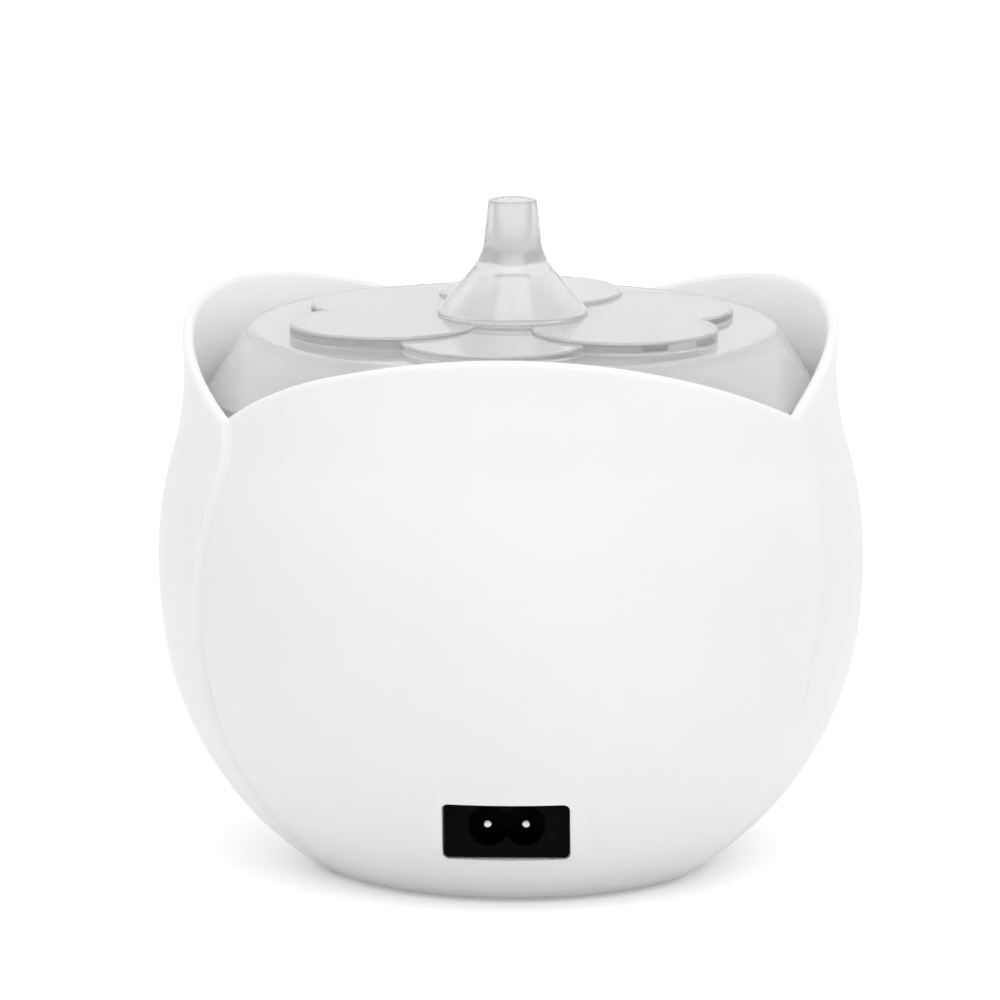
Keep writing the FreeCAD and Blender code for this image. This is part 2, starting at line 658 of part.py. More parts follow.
def bent_path(points, bend):
    """Straight runs through the points, joined by tangent arcs."""
    spots = [V(*(num(c) for c in p)) for p in points]
    edges = []
    start = spots[0]
    for before, here, after in zip(spots, spots[1:], spots[2:]):
        u = (before - here).normalize()
        w = (after - here).normalize()
        half = math.acos(max(-1.0, min(1.0, u.dot(w)))) / 2
        reach = bend / math.tan(half)
        middle = here + (u + w).normalize() * (bend / math.sin(half) - bend)
        edges.append(Part.LineSegment(start, here + u * reach).toShape())
        edges.append(Part.Arc(here + u * reach, middle, here + w * reach).toShape())
        start = here + w * reach
    edges.append(Part.LineSegment(start, spots[-1]).toShape())
    return edges


def tube(name, edges, radius):
    """Round wire or tube swept along a smooth path."""
    spine = doc.addObject("Part::Feature", name + "_path")
    spine.Shape = Part.Wire(edges)
    first = edges[0]
    heading = first.tangentAt(first.FirstParameter)
    ring = bind(doc.addObject("Part::Circle", name + "_ring"), {"Radius": radius})
    start = first.valueAt(first.FirstParameter)
    ring.Placement = FreeCAD.Placement(start, FreeCAD.Rotation(V(0, 0, 1), heading))
    sweep = doc.addObject("Part::Sweep", name)
    sweep.Sections = [ring]
    sweep.Spine = (spine, [f"Edge{i + 1}" for i in range(len(edges))])
    sweep.Solid = True
    return sweep


def coil_path():
    """Open heating ring whose two ends turn down through the clamp plate."""
    radius, level = num("coil_radius"), num(COIL_LEVEL)
    part_way = math.radians(30)
    lean = COIL_BEND * math.sin(math.pi / 4)
    ends = []
    for flip in (-1, 1):
        top = V(flip * radius * math.sin(part_way), -radius * math.cos(part_way), level)
        turn = V(-flip * math.cos(part_way), -math.sin(part_way), 0)
        middle = top + turn * lean - V(0, 0, COIL_BEND - lean)
        low = top + turn * COIL_BEND - V(0, 0, COIL_BEND)
        ends.append((top, middle, low, low - V(0, 0, COIL_TAIL)))
    left, right = ends
    curves = [
        Part.LineSegment(left[3], left[2]),
        Part.Arc(left[2], left[1], left[0]),
        Part.Arc(left[0], V(0, radius, level), right[0]),
        Part.Arc(right[0], right[1], right[2]),
        Part.LineSegment(right[2], right[3]),
    ]
    return [curve.toShape() for curve in curves]


def build_heater():
    """Heating ring clamped under the cup, thermostat, heat shield and their fixings."""
    coil = tube("heating_element", coil_path(), "tube_radius")
    plates = []
    for name, radius, top, thick in (("clamp_plate", "coil_radius + 8", CLAMP_TOP, CLAMP_THICK),
                                     ("heat_shield", "coil_radius + 10.5", SHIELD_TOP, SHIELD_THICK)):
        plate = place(new_body(name), ("0", "0", f"{top} - {thick}"))
        pad(plate, thick, circles=[("0", "0", radius)])
        spots = [(x, y, "stud_radius + slip") for x, y in STUD_SPOTS]
        spots += [(x, y, "tube_radius + 2.4") for x, y in COIL_ENDS]
        pocket(plate, thick, [block("0", "15", "12", "8", "2")], spots)
        plates.append(plate)
    studs, spacers, nuts = [], [], []
    for i, (x, y) in enumerate(STUD_SPOTS):
        stud_low = f"({SHIELD_LOW} - {STUD_END})"
        studs.append(cylinder(f"stud_{i}", "stud_radius", f"{CUP_FLOOR} - {stud_low}", (x, y, stud_low)))
        spacers.append(sleeve(f"spacer_{i}", "stud_radius + 1.6", SPACER_LONG, (x, y, SHIELD_TOP)))
        nuts.append(nut(f"nut_{i}", (x, y, f"{SHIELD_LOW} - 3.2")))
    thermostat = fuse("thermostat", [
        cylinder("thermostat_case", "8.2", f"{CUP_FLOOR} - slip - {CLAMP_TOP}", ("0", "0", CLAMP_TOP)),
        box("thermostat_tabs", ("11", "6", "4"), ("0", "7", f"{CLAMP_TOP} + 1")),
    ])
    return [coil, *plates, group("clamp_studs", studs), group("shield_spacers", spacers),
            group("stud_nuts", nuts), thermostat]


def sleeve(name, radius, long, at):
    outer = cylinder(name + "_outer", radius, long, at)
    return cut(name, outer, cylinder(name + "_bore", "stud_radius + slip", long, at))


def nut(name, at):
    hexagon = doc.addObject("Part::Prism", name + "_hex")
    hexagon.Polygon = 6
    bind(hexagon, {"Circumradius": "2.02 * stud_radius", "Height": "3.2"})
    return cut(name, place(hexagon, at), cylinder(name + "_bore", "stud_radius + slip", "3.2", at))


def prism(name, y, long, path, holes=()):
    """Outline in X and Z pushed from a Y place toward -Y."""
    body = place(new_body(name), ("0", y, "0"))
    pad(body, long, [path, *holes], plane="XZ_Plane")
    return body


def build_board():
    """Main board on the base posts with its parts."""
    board = place(new_body("main_board"), ("0", "0", BOARD_LEVEL))
    pad(board, "board_thick", [block("0", "0", "board_long", "board_wide", "2")])
    pocket(board, "board_thick", circles=[(x, y, "1.5") for x, y in POST_SPOTS])
    screws = screw_set("board_screws", ("2.3", "1.6", "1", "5.6"),
                       [(x, y, BOARD_TOP) for x, y in POST_SPOTS], "down")
    terminal = box("terminal_case", ("32", "8", "8.5"), ("0", BLOCK_ROW, BOARD_TOP))
    entries = []
    for i, x in enumerate(("-pin_pitch / 2", "pin_pitch / 2", f"-{COIL_END_X}", COIL_END_X)):
        mouth = (x, f"{BLOCK_ROW} - 4.2", WIRE_LEVEL)
        entries.append(cylinder(f"terminal_entry_{i}", "wire_radius + slip", "3.2", mouth, "rear"))
    terminal = cut("terminal_block", terminal, group("terminal_entries", entries))
    relay = soft_box("relay", ("16", "11", "part_tall - 0.1"), ("-13", "-1", BOARD_TOP))
    transformer = soft_box("transformer", ("17", "15", "part_tall - 0.1"), ("13", "1", BOARD_TOP))
    capacitor = place(turned("capacitor", [
        ("0", "0"), ("4.5", "0"), ("4.5", "part_tall - 0.8", "0.8", 1),
        ("3.7", "part_tall"), ("0", "part_tall"),
    ]), ("-11", "12", BOARD_TOP))
    sensor = soft_box("sensor_socket", ("9", "6", "6.2"), ("0", "15", BOARD_TOP))
    cable = soft_box("cable_socket", ("8", "6", "6"), (CABLE_X, "board_wide / 2 - 4", BOARD_TOP))
    return [board, screws, terminal, relay, transformer, capacitor, sensor, cable]


def soft_box(name, size, at):
    """Moulded box with rounded upright edges."""
    body = place(new_body(name), at)
    pad(body, size[2], [block("0", "0", size[0], size[1], "0.8")])
    return body


def build_inlet():
    """Two-pin inlet seated in the casing window."""
    housing = place(new_body("inlet_housing"), ("0", f"-{INLET_FLANGE_BACK}", "0"))
    pad(housing, INLET_FLANGE, [block("0", "inlet_level", "inlet_width", "inlet_height", "1.2")],
        plane="XZ_Plane")
    rear = pad(housing, f"{INLET_FLANGE_BACK} - {INLET_BACK}",
               [block("0", "inlet_level", SOCKET_WIDE, SOCKET_TALL, "2")], plane="XZ_Plane")
    rear.Reversed = True
    for x in ("-3.95", "3.95"):
        lobe = pocket(housing, INLET_DEEP, circles=[(x, "inlet_level", "4.6")],
                      lift=INLET_FLANGE, plane="XZ_Plane")
        lobe.Reversed = False
    holes = [(f"{s} * pin_pitch / 2", "inlet_level", f"{PIN_STEM} + 0.05") for s in ("-1", "1")]
    pocket(housing, None, circles=holes, plane="XZ_Plane")
    pins = []
    for i, s in enumerate(("-1", "1")):
        x = f"{s} * pin_pitch / 2"
        long = f"{INLET_FACE} - 1.2 - {INLET_BACK}"
        step = f"{INLET_FACE} - {INLET_DEEP} - {INLET_BACK}"
        rod = place(turned(f"pin_rod_{i}", [
            ("0", "-2"), (PIN_STEM, "-2"), (PIN_STEM, step), ("pin_radius", step),
            ("pin_radius", f"{long} - 1", "1", 1), ("pin_radius - 1", long), ("0", long),
        ]), (x, f"-{INLET_BACK}", "inlet_level"), "front")
        tab = box(f"pin_tab_{i}", ("0.8", "6", "4.8"), (x, f"3 - {INLET_BACK}", "inlet_level - 2.4"))
        pins.append(fuse(f"inlet_pin_{i}", [rod, tab]))
    return [housing, group("inlet_pins", pins)]


def build_panel():
    """Control panel in the rear window with its buttons, board, switches and bracket."""
    face = ("0", BRACKET_FACE, PANEL_LEVEL)
    disc = common("panel_disc", filled_side("panel_core", "panel_proud"),
                  cylinder("panel_plug", "panel_radius", "30", face, "rear"))
    flange = cylinder("panel_flange", "panel_radius + 1.4", "1.5", face, "rear")
    holes = [cylinder("panel_hollow", "panel_radius - 2", f"{PANEL_BACK} - {BRACKET_FACE}", face, "rear")]
    holes += [cylinder(f"button_hole_{i}", "button_radius + 0.25", "30", (x, face[1], BUTTON_LEVEL), "rear")
              for i, x in enumerate(BUTTON_X)]
    holes.append(box("display_hole", (f"{LENS_WIDE} + 0.2", "30", f"{LENS_TALL} + 0.2"),
                     ("0", f"{PANEL_BACK} + 10", f"{DISPLAY_LEVEL} - {LENS_TALL} / 2 - 0.1")))
    panel = cut("control_panel", fuse("panel_solid", [disc, flange]), group("panel_holes", holes))
    lens = common("display_window", filled_side("lens_core", "panel_proud - 0.15"),
                  box("lens_block", (LENS_WIDE, "20", LENS_TALL),
                      ("0", f"{PANEL_BACK} + 10", f"{DISPLAY_LEVEL} - {LENS_TALL} / 2")))
    core = filled_side("button_core", "panel_proud + button_proud")
    moving, cases = [], []
    for name, x in zip(("minus", "power", "plus"), BUTTON_X):
        back = (x, STEM_END, BUTTON_LEVEL)
        cap = common(f"{name}_cap", core, cylinder(f"{name}_rod", "button_radius", "20", back, "rear"))
        collar = cylinder(f"{name}_collar", "button_radius + 0.9", "0.9", back, "rear")
        moving.append(fuse(f"{name}_button", [cap, collar]))
        end = (x, PLUNGER_END, BUTTON_LEVEL)
        moving.append(cylinder(f"{name}_plunger", "1.75", f"{STEM_END} - {PLUNGER_END}", end, "rear"))
        case = box(f"{name}_key", ("6", "5", "6"), (x, f"{KEY_FACE} + 2.5", f"{BUTTON_LEVEL} - 3"))
        bore = cylinder(f"{name}_bore", "1.85", "4", (x, f"{KEY_FACE} + 2.1", BUTTON_LEVEL), "rear")
        cases.append(cut(f"{name}_switch", case, bore))
    display = box("display_module", ("19.6", f"{PANEL_BACK} - {KEY_FACE} - 0.4", "9.6"),
                  ("0", f"({PANEL_BACK} + {KEY_FACE} - 0.4) / 2", f"{DISPLAY_LEVEL} - 4.8"))
    return [panel, lens, *moving, group("key_switches", cases), display] + build_bracket()


def build_bracket():
    """Bracket that holds the panel and the control board to the casing."""
    hole = block("0", PANEL_LEVEL, "bracket_wide - 17", "bracket_tall - 16", "2")
    rim = block("0", PANEL_LEVEL, "bracket_wide", "bracket_tall", "4")
    bracket = prism("panel_bracket", BRACKET_FACE, BRACKET_THICK, rim, [hole])
    pad(bracket, KEY_GAP, circles=[(x, z, "2.5") for x, z in KEY_SPOTS], lift=BRACKET_THICK,
        plane="XZ_Plane")
    pocket(bracket, None, circles=[(x, z, "1.5") for x, z in BRACKET_SPOTS], plane="XZ_Plane")
    pocket(bracket, None, circles=[(x, z, "0.9") for x, z in KEY_SPOTS], plane="XZ_Plane")
    board = prism("control_board", KEY_FACE, "board_thick",
                  block("0", PANEL_LEVEL, "control_wide", "control_tall", "2"))
    pocket(board, None, circles=[(x, z, "1.1") for x, z in KEY_SPOTS], plane="XZ_Plane")
    seat = f"{BRACKET_FACE} - {BRACKET_THICK}"
    bracket_screws = screw_set("bracket_screws", ("2.4", "1.5", "1", "5.4"),
                               [(x, seat, z) for x, z in BRACKET_SPOTS], "rear")
    key_screws = screw_set("control_board_screws", ("1.8", "1.2", "0.8", "4.6"),
                           [(x, KEY_BACK, z) for x, z in KEY_SPOTS], "rear")
    socket = box("panel_socket", ("8", "4", "6"), (CABLE_X, f"{KEY_BACK} - 2", SOCKET_LEVEL))
    return [bracket, board, bracket_screws, key_screws, socket]


def build_wires():
    """Wires inside the casing, each run from terminal to terminal."""
    start = f"(6 - {INLET_BACK})"
    end = f"({BLOCK_ROW} - 4 + 2.6)"
    tap = f"{CLAMP_TOP} + 3"
    mains, heater, sensor = [], [], []
    for i, side in enumerate(("-1", "1")):
        x = f"{side} * pin_pitch / 2"
        run = bent_path([
            (x, start, "inlet_level"), (x, f"{start} * 0.72 + {end} * 0.28", "inlet_level"),
            (x, f"{start} * 0.4 + {end} * 0.6", WIRE_LEVEL), (x, end, WIRE_LEVEL),
        ], 4)
        mains.append(tube(f"mains_wire_{i}", run, "wire_radius"))
        x = f"{side} * {COIL_END_X}"
        run = bent_path([
            (x, COIL_END_Y, COIL_END_Z), (x, COIL_END_Y, WIRE_LEVEL), (x, end, WIRE_LEVEL),
        ], 5)
        heater.append(tube(f"heater_lead_{i}", run, "wire_radius"))
        x = f"{side} * 3"
        run = bent_path([(x, "10", tap), (x, "15", tap), (x, "15", f"{BOARD_TOP} + 6.2")], 3)
        sensor.append(tube(f"sensor_lead_{i}", run, "wire_radius"))
    low, out = f"{BOARD_TOP} + 3", f"{KEY_BACK} - 2"
    run = bent_path([
        (CABLE_X, "board_wide / 2 - 1", low), (CABLE_X, f"{KEY_BACK} - 10", low),
        (CABLE_X, out, f"{low} + 21"), (CABLE_X, out, SOCKET_LEVEL),
    ], 8)
    sets = [group("mains_wires", mains), group("heater_leads", heater), group("sensor_leads", sensor)]
    return sets + [tube("panel_cable", run, "1.9")]


def flower_disc(name, radius, tall, x, y):
    """Flat disc on the lid with a rounded upper edge."""
    return place(turned(name, [
        ("0", "0"), (radius, "0"), (radius, f"{tall} - flower_round", "flower_round", 1),
        (f"{radius} - flower_round", tall), ("0", tall),
    ]), (x, y, LID_TOP))


def build_lid():
    """Clear lid with a relief flower and a hollow knob."""
    drop = "(lid_height - lid_foot)"
    slant = f"sqrt(lid_run^2 + {drop}^2)"
    plate = "(lid_wall + 0.2)"
    inner = f"{LID_CORNER} + {plate} * lid_run / {drop} - lid_wall * {slant} / {drop}"
    foot = f"{LID_TOP} - (lid_run - lid_wall + lid_wall * {slant} / {drop}) * {drop} / lid_run"
    lean = f"(lid_run / {slant})"
    cover = turned("lid_cover", [
        ("0", f"{LID_TOP} - {plate}"), (inner, f"{LID_TOP} - {plate}"),
        (f"{LID_RADIUS} - lid_wall", foot), (f"{LID_RADIUS} - lid_wall", LID_LEVEL),
        (LID_RADIUS, LID_LEVEL), (LID_RADIUS, f"{LID_LEVEL} + lid_foot"),
        (f"{LID_CORNER} + lid_round * {lean}", f"{LID_TOP} - lid_round * {drop} / {slant}",
         f"lid_round * sqrt((1 + {lean}) / (1 - {lean}))", 1),
        (f"{LID_CORNER} - lid_round", LID_TOP), ("0", LID_TOP),
    ])
    hub = f"max(knob_radius + 1.5; {FLOWER_PITCH} - flower_disc + 2)"
    discs = [flower_disc("flower_hub", hub, "flower_high", "0", "0")]
    for i in range(6):
        turn = f"(({60 * i - 90} - flower_turn) * 1 deg)"
        spot = (f"{FLOWER_PITCH} * cos{turn}", f"{FLOWER_PITCH} * sin{turn}")
        tall = ("flower_low", "flower_high")[i % 2]
        discs.append(flower_disc(f"flower_petal_{i}", "flower_disc", tall, *spot))
    flower = fuse("lid_flower", discs)
    neck = ("0.565 * knob_radius", "0.37 * knob_height")
    stem = ("0.39 * knob_radius", "0.59 * knob_height")
    rise = f"({neck[1]} - 0.6)"
    run = f"(knob_radius - {neck[0]})"
    cone = f"sqrt({rise}^2 + {run}^2)"
    hollow = f"(knob_radius + 0.6 * {run} / {rise} - knob_wall * {cone} / {rise})"
    ceiling = f"({neck[1]} - 0.4 * knob_wall)"
    floor = f"({ceiling} + 0.7 * knob_wall)"
    knob = place(turned("lid_knob", [
        ("0", ceiling), (f"{hollow} - {ceiling} * {run} / {rise}", ceiling), (hollow, "0"),
        ("knob_radius", "0"), ("knob_radius", "0.6"),
        (*neck, tangent_radius(neck, stem, f"{rise} / {cone}", f"{run} / {cone}"), -1),
        stem, ("knob_tip", "knob_height - 0.6", "0.6", 1), ("knob_tip - 0.6", "knob_height"),
        ("0.68 * knob_tip", "knob_height"), ("0.56 * knob_tip", floor), ("0", floor),
    ]), ("0", "0", FLOWER_TOP))
    return [cover, flower, knob]


NODES = [build_casing()]
for build in (build_base, build_deck, build_heater, build_board,
              build_inlet, build_panel, build_wires, build_lid):
    NODES += build()
doc.recompute()

# Every object has to be sound before a file is written
for obj in doc.Objects:
    if "Invalid" in obj.State or "Error" in obj.State:
        raise RuntimeError(f"{obj.Name} failed: {obj.State}")
for node in NODES:
    if node.Shape.isNull() or not node.Shape.isValid():
        raise RuntimeError(f"{node.Label} has no sound shape")

os.makedirs("parts", exist_ok=True)
for node in NODES:
    node.Shape.exportStep(f"parts/{node.Label}.step")
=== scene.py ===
import json
import math

import bmesh
import bpy
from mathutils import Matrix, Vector
from mathutils.bvhtree import BVHTree


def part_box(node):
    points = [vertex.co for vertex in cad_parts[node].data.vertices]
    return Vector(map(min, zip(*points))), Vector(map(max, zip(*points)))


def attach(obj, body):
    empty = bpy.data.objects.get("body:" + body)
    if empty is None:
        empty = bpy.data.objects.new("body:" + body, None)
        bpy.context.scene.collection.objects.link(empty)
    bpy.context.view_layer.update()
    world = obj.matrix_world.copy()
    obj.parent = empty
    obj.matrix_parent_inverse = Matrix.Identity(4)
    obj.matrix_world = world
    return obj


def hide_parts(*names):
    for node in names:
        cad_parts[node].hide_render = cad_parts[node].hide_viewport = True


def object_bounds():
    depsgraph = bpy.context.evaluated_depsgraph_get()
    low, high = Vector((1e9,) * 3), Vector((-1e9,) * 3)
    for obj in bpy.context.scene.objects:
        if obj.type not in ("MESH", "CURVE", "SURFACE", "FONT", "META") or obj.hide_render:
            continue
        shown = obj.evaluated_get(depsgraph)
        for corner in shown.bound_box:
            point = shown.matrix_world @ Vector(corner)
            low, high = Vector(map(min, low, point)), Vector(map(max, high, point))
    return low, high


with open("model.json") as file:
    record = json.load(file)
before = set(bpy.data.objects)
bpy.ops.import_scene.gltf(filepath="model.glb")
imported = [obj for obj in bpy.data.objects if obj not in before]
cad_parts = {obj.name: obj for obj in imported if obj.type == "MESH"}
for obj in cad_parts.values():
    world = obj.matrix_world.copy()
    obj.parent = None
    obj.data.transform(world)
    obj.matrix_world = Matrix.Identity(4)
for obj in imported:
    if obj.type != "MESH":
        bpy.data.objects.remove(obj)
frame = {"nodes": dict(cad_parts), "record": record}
CAD_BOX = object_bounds()
NODES = frame["nodes"]
MM = 0.001


# Camera, from the photograph: aim point, its pixel, and the focal length in pixels
IMAGE_SIZE = 1000
AIM = Vector((0, 0, 71 * MM))
AIM_PIXEL = (512.5, 551.2)
FOCAL_PIXELS = 8812
CAMERA_DISTANCE = 2.0
CAMERA_AZIMUTH = math.radians(1.35)
CAMERA_ELEVATION = math.radians(11)
SENSOR_WIDTH = 36


def add_camera():
    a, e = CAMERA_AZIMUTH, CAMERA_ELEVATION
    back = Vector((math.sin(a) * math.cos(e), -math.cos(a) * math.cos(e), math.sin(e)))
    right = Vector((math.cos(a), math.sin(a), 0))
    up = back.cross(right)
    pixel = CAMERA_DISTANCE / FOCAL_PIXELS
    middle = IMAGE_SIZE / 2
    across = (AIM_PIXEL[0] - middle) * pixel
    down = (AIM_PIXEL[1] - middle) * pixel
    target = AIM - right * across + up * down
    data = bpy.data.cameras.new("camera")
    data.sensor_width = SENSOR_WIDTH
    data.lens = SENSOR_WIDTH * FOCAL_PIXELS / IMAGE_SIZE
    camera = bpy.data.objects.new("camera", data)
    camera.location = target + back * CAMERA_DISTANCE
    camera.rotation_euler = (-back).to_track_quat("-Z", "Y").to_euler()
    bpy.context.scene.collection.objects.link(camera)
    bpy.context.scene.camera = camera


# Stage: white floor, soft lamps and a white world
WHITE = (1, 1, 1, 1)
FLOOR_SIDE = 12.0
FLOOR_COLOUR = 0.94
FLOOR_LIFT = 0.28
WORLD_LIGHT = 0.80
BACKDROP_LIGHT = 1.0
LAMPS = {
    "key": dict(at=(0.6, -1.6, 1.3), size=1.3, power=4.9),
    "fill": dict(at=(-1.6, -0.9, 0.9), size=1.4, power=0.5),
    "top": dict(at=(0.1, -0.5, 1.9), size=1.5, power=11.5),
}


def node(tree, kind, **values):
    """New node with its own settings, or the default of a named input."""
    made = tree.nodes.new(kind)
    for key, value in values.items():
        socket = key.replace("_", " ")
        if socket in made.inputs:
            made.inputs[socket].default_value = value
        else:
            setattr(made, key, value)
    return made


def sees_backdrop(tree):
    """1 for rays from the camera, from gloss and through clear plastic, else 0."""
    path = node(tree, "ShaderNodeLightPath")
    glossy = node(tree, "ShaderNodeMath", operation="MAXIMUM")
    seen = node(tree, "ShaderNodeMath", operation="MAXIMUM")
    tree.links.new(path.outputs["Is Glossy Ray"], glossy.inputs[0])
    tree.links.new(path.outputs["Is Transmission Ray"], glossy.inputs[1])
    tree.links.new(path.outputs["Is Camera Ray"], seen.inputs[0])
    tree.links.new(glossy.outputs[0], seen.inputs[1])
    return seen.outputs[0]


def add_floor():
    bpy.ops.mesh.primitive_plane_add(size=FLOOR_SIDE)
    floor = bpy.context.object
    floor.name = "floor"
    material = bpy.data.materials.new("floor_white")
    material.use_nodes = True
    tree = material.node_tree
    tree.nodes.clear()
    matt = node(tree, "ShaderNodeBsdfDiffuse", Color=(FLOOR_COLOUR,) * 3 + (1,))
    glow = node(tree, "ShaderNodeEmission", Color=WHITE)
    lift = node(tree, "ShaderNodeMath", operation="MULTIPLY")
    lift.inputs[1].default_value = FLOOR_LIFT
    both = node(tree, "ShaderNodeAddShader")
    out = node(tree, "ShaderNodeOutputMaterial")
    tree.links.new(sees_backdrop(tree), lift.inputs[0])
    tree.links.new(lift.outputs[0], glow.inputs["Strength"])
    tree.links.new(matt.outputs[0], both.inputs[0])
    tree.links.new(glow.outputs[0], both.inputs[1])
    tree.links.new(both.outputs[0], out.inputs["Surface"])
    floor.data.materials.append(material)


def add_world():
    world = bpy.data.worlds.new("studio")
    world.use_nodes = True
    bpy.context.scene.world = world
    tree = world.node_tree
    back = tree.nodes["Background"]
    back.inputs["Color"].default_value = WHITE
    level = node(tree, "ShaderNodeMapRange", To_Min=WORLD_LIGHT, To_Max=BACKDROP_LIGHT)
    tree.links.new(sees_backdrop(tree), level.inputs["Value"])
    tree.links.new(level.outputs["Result"], back.inputs["Strength"])


def add_lamps():
    for name, lamp in LAMPS.items():
        data = bpy.data.lights.new(name, "AREA")
        data.size = lamp["size"]
        data.energy = lamp["power"]
        obj = bpy.data.objects.new(name, data)
        obj.location = lamp["at"]
        obj.rotation_euler = (AIM - obj.location).to_track_quat("-Z", "Y").to_euler()
        bpy.context.scene.collection.objects.link(obj)


# Materials: colour, roughness and relief come from textures in the part's own space,
# with scales in marks per metre. A relief is its strength and depth.
TINT_SPAN = (0.3, 0.7)
GLOSS_SPREAD = 0.06
CLOUD_SCALE, SKIN_SCALE, SKIN_RELIEF = 18, 1400, (0.25, 0.02 * MM)
WAVE_SCALE, WAVE_RELIEF, WAVE_GLOSS = 60, (0.08, 0.2 * MM), (0.6, 1.4)
RING_SCALE, RING_DISTORTION, RING_RELIEF = 420, 0.3, (0.12, 0.03 * MM)
STAIN_SCALE, STREAK_SCALE = 40, 300
STREAK_GLOSS = (-0.05, 0.08)
TRACK_SCALE, TRACK_WIDTH, TRACK_RELIEF = 120, 0.06, (0.2, 0.03 * MM)
CLEAR_IOR = 1.49


def grey(level):
    return (level,) * 3


def start_material(name, colour, roughness, **constant):
    material = bpy.data.materials.new(name)
    material.use_nodes = True
    tree, shader = shader_of(material)
    shader.inputs["Base Color"].default_value = (*colour, 1)
    shader.inputs["Roughness"].default_value = roughness
    for key, value in constant.items():
        shader.inputs[key.replace("_", " ")].default_value = value
    return material, tree, shader


def shader_of(material):
    tree = material.node_tree
    return tree, tree.nodes["Principled BSDF"]


def place_texture(tree, kind, **values):
    """Texture fixed to the part."""
    space = node(tree, "ShaderNodeTexCoord")
    texture = node(tree, kind, **values)
    tree.links.new(space.outputs["Object"], texture.inputs["Vector"])
    return texture


def tint(tree, shader, texture, dark, light):
    ramp = node(tree, "ShaderNodeValToRGB")
    for stop, place, colour in zip(ramp.color_ramp.elements, TINT_SPAN, (dark, light)):
        stop.position = place
        stop.color = (*colour, 1)
    tree.links.new(texture.outputs[0], ramp.inputs["Fac"])
    tree.links.new(ramp.outputs["Color"], shader.inputs["Base Color"])


def vary(tree, shader, texture, socket, low, high):
    span = node(tree, "ShaderNodeMapRange", To_Min=low, To_Max=high)
    tree.links.new(texture.outputs[0], span.inputs["Value"])
    tree.links.new(span.outputs["Result"], shader.inputs[socket])


def relief(tree, shader, texture, strength, depth):
    bump = node(tree, "ShaderNodeBump", Strength=strength, Distance=depth)
    tree.links.new(texture.outputs[0], bump.inputs["Height"])
    tree.links.new(bump.outputs["Normal"], shader.inputs["Normal"])


def moulded(name, dark, light, roughness, **constant):
    """Moulded plastic: faint flow clouds in the colour, a fine skin in gloss and relief."""
    material, tree, shader = start_material(name, light, roughness, **constant)
    clouds = place_texture(tree, "ShaderNodeTexNoise", Scale=CLOUD_SCALE, Detail=3)
    skin = place_texture(tree, "ShaderNodeTexNoise", Scale=SKIN_SCALE, Detail=2)
    tint(tree, shader, clouds, dark, light)
    vary(tree, shader, skin, "Roughness", roughness - GLOSS_SPREAD, roughness + GLOSS_SPREAD)
    relief(tree, shader, skin, *SKIN_RELIEF)
    return material


def clear(name, dark, light, roughness, clarity):
    """Clear or slightly milky moulded plastic with slow waves in its skin."""
    material, tree, shader = start_material(name, light, roughness, IOR=CLEAR_IOR,
                                            Transmission_Weight=clarity)
    waves = place_texture(tree, "ShaderNodeTexNoise", Scale=WAVE_SCALE, Detail=1)
    tint(tree, shader, waves, dark, light)
    vary(tree, shader, waves, "Roughness", *(roughness * share for share in WAVE_GLOSS))
    relief(tree, shader, waves, *WAVE_RELIEF)
    return material


def spun(name, dark, light, roughness):
    """Metal turned about the upright axis, with fine rings."""
    material, tree, shader = start_material(name, light, roughness, Metallic=1)
    rings = place_texture(tree, "ShaderNodeTexWave", wave_type="RINGS", rings_direction="Z",
                          Scale=RING_SCALE, Distortion=RING_DISTORTION, Detail=2)
    stains = place_texture(tree, "ShaderNodeTexNoise", Scale=STAIN_SCALE, Detail=4)
    tint(tree, shader, stains, dark, light)
    vary(tree, shader, rings, "Roughness", roughness - GLOSS_SPREAD, roughness + GLOSS_SPREAD)
    relief(tree, shader, rings, *RING_RELIEF)
    return material


def plated(name, dark, light, roughness):
    """Plated or drawn metal with faint streaks."""
    material, tree, shader = start_material(name, light, roughness, Metallic=1)
    streaks = place_texture(tree, "ShaderNodeTexNoise", Scale=STREAK_SCALE, Detail=4)
    tint(tree, shader, streaks, dark, light)
    vary(tree, shader, streaks, "Roughness", *(roughness + more for more in STREAK_GLOSS))
    return material


def circuit(name, dark, light, track, roughness):
    """Lacquered board with a lattice of fine tracks under the green."""
    material, tree, shader = start_material(name, light, roughness)
    tracks = place_texture(tree, "ShaderNodeTexBrick", Scale=TRACK_SCALE, Mortar_Size=TRACK_WIDTH,
                           Color1=(*dark, 1), Color2=(*light, 1), Mortar=(*track, 1))
    tree.links.new(tracks.outputs["Color"], shader.inputs["Base Color"])
    relief(tree, shader, tracks, *TRACK_RELIEF)
    return material


# Changes within a material: over the lid's height (with painted shade on the flower's upright
# edges), and between the sides of a wall (with painted light on the inner side)
INNER_LIGHT_BLEND = 10 * MM
EDGE_SHADE_BLEND = 0.7
HEIGHT_BLEND = 0.1 * MM


def mix_in(tree, shader, socket, share, value):
    """Mix a colour into what a socket of the shader gets, by a share from 0 to 1."""
    mix = node(tree, "ShaderNodeMixRGB", Color2=(*value, 1))
    tree.links.new(share, mix.inputs["Fac"])
    tree.links.new(shader.inputs[socket].links[0].from_socket, mix.inputs["Color1"])
    tree.links.new(mix.outputs["Color"], shader.inputs[socket])


def by_height(tree, low, high, start, end):
    """Value that goes from start to end over the heights from low to high."""
    space = node(tree, "ShaderNodeTexCoord")
    place = node(tree, "ShaderNodeSeparateXYZ")
    rise = node(tree, "ShaderNodeMapRange", From_Min=low, From_Max=high, To_Min=start, To_Max=end)
    tree.links.new(space.outputs["Object"], place.inputs["Vector"])
    tree.links.new(place.outputs["Z"], rise.inputs["Value"])
    return rise.outputs["Result"]


